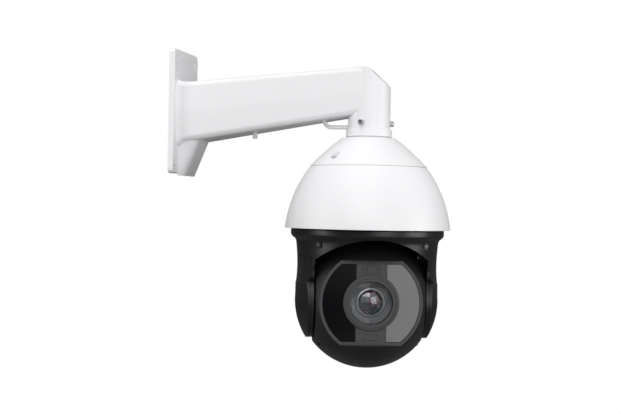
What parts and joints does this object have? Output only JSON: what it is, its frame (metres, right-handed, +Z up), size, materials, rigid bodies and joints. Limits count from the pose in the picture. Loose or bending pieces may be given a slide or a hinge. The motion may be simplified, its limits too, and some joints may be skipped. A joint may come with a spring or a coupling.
{
  "type": "ptz camera",
  "caption": "Pan-tilt-zoom security dome camera with infrared windows, hanging from a cast wall bracket.",
  "frame": {"origin": "centre of the wall plate's back face", "axes": "+X out from the wall along the arm, +Z up"},
  "size_m": [0.412, 0.24, 0.4629],
  "materials": {
    "white_paint": "satin",
    "black_plastic": "satin",
    "frame_grey": "satin",
    "window_black": "gloss",
    "lens_glass": "polished",
    "steel": "brushed",
    "circuit_board": "satin",
    "rubber": "matte"
  },
  "bodies": {
    "fixed": {"wall_bracket": "white_paint", "arm_plug_screw": "steel", "lock_screw_1": "steel", "lock_screw_2": "steel", "lock_screw_3": "steel", "neck_adapter": "white_paint", "neck_gasket": "rubber", "top_cover": "white_paint", "sun_shade": "white_paint", "cover_screw_1": "steel", "cover_screw_2": "steel", "cover_screw_3": "steel", "chassis_plate": "steel", "base_plate": "black_plastic", "power_board": "circuit_board", "main_board": "circuit_board", "fan_housing": "black_plastic", "pan_motor": "steel", "pan_belt": "rubber", "slip_ring_stator": "black_plastic", "pan_bearing_outer": "steel"},
    "fan": {"fan_rotor": "black_plastic"},
    "pan_drive": {"pan_drive_pulley": "steel"},
    "turn": {"turntable": "black_plastic", "pan_pulley": "steel", "pan_bearing_inner": "steel", "slip_ring_rotor": "steel", "yoke_frame": "black_plastic", "side_cover_left": "black_plastic", "side_cover_right": "black_plastic", "tilt_motor": "steel", "tilt_belt": "rubber", "tilt_bearing_left": "steel", "tilt_bearing_right": "steel", "tilt_encoder": "circuit_board"},
    "tilt_drive": {"tilt_drive_pulley": "steel"},
    "head": {"head_front_shell": "black_plastic", "head_rear_shell": "black_plastic", "front_frame": "frame_grey", "ir_window_left": "window_black", "ir_window_right": "window_black", "ir_board_left": "circuit_board", "ir_board_right": "circuit_board", "lens_window": "lens_glass", "sensor_insert": "black_plastic", "badge_plate": "frame_grey", "camera_cradle": "steel", "camera_block": "black_plastic", "lens_barrel": "black_plastic", "front_lens": "lens_glass", "sensor_board": "circuit_board", "tilt_axle_left": "steel", "tilt_axle_right": "steel"},
    "zoom": {"zoom_group": "lens_glass"},
    "focus": {"focus_group": "lens_glass"},
    "filter": {"ir_cut_filter": "lens_glass"}
  },
  "joints": [
    {"name": "pan", "type": "hinge", "parent": "fixed", "child": "turn", "pos_m": [0.292, 0, -0.14], "axis": [0, 0, 1], "continuous": true},
    {"name": "pan_drive_spin", "type": "hinge", "parent": "fixed", "child": "pan_drive", "pos_m": [0.246, 0, -0.118], "axis": [0, 0, 1], "continuous": true},
    {"name": "fan_spin", "type": "hinge", "parent": "fixed", "child": "fan", "pos_m": [0.292, -0.038, -0.0875], "axis": [0, 0, 1], "continuous": true},
    {"name": "tilt", "type": "hinge", "parent": "turn", "child": "head", "pos_m": [0.292, 0, -0.2716], "axis": [0.9537, 0.3007, 0], "range_deg": [-15, 90]},
    {"name": "tilt_drive_spin", "type": "hinge", "parent": "turn", "child": "tilt_drive", "pos_m": [0.20941, -0.02604, -0.2326], "axis": [0.9537, 0.3007, 0], "range_deg": [-61, 361]},
    {"name": "zoom", "type": "slide", "parent": "head", "child": "zoom", "axis": [-0.3007, 0.9537, 0], "range_m": [0, 0.012]},
    {"name": "focus", "type": "slide", "parent": "head", "child": "focus", "axis": [-0.3007, 0.9537, 0], "range_m": [0, 0.008]},
    {"name": "ir_filter_slide", "type": "slide", "parent": "head", "child": "filter", "axis": [0.9537, 0.3007, 0], "range_m": [0, 0.0145]}
  ],
  "couplings": [
    {"joint": "pan_drive_spin", "follows": "pan", "ratio": 4.5714},
    {"joint": "tilt_drive_spin", "follows": "tilt", "ratio": 4}
  ]
}
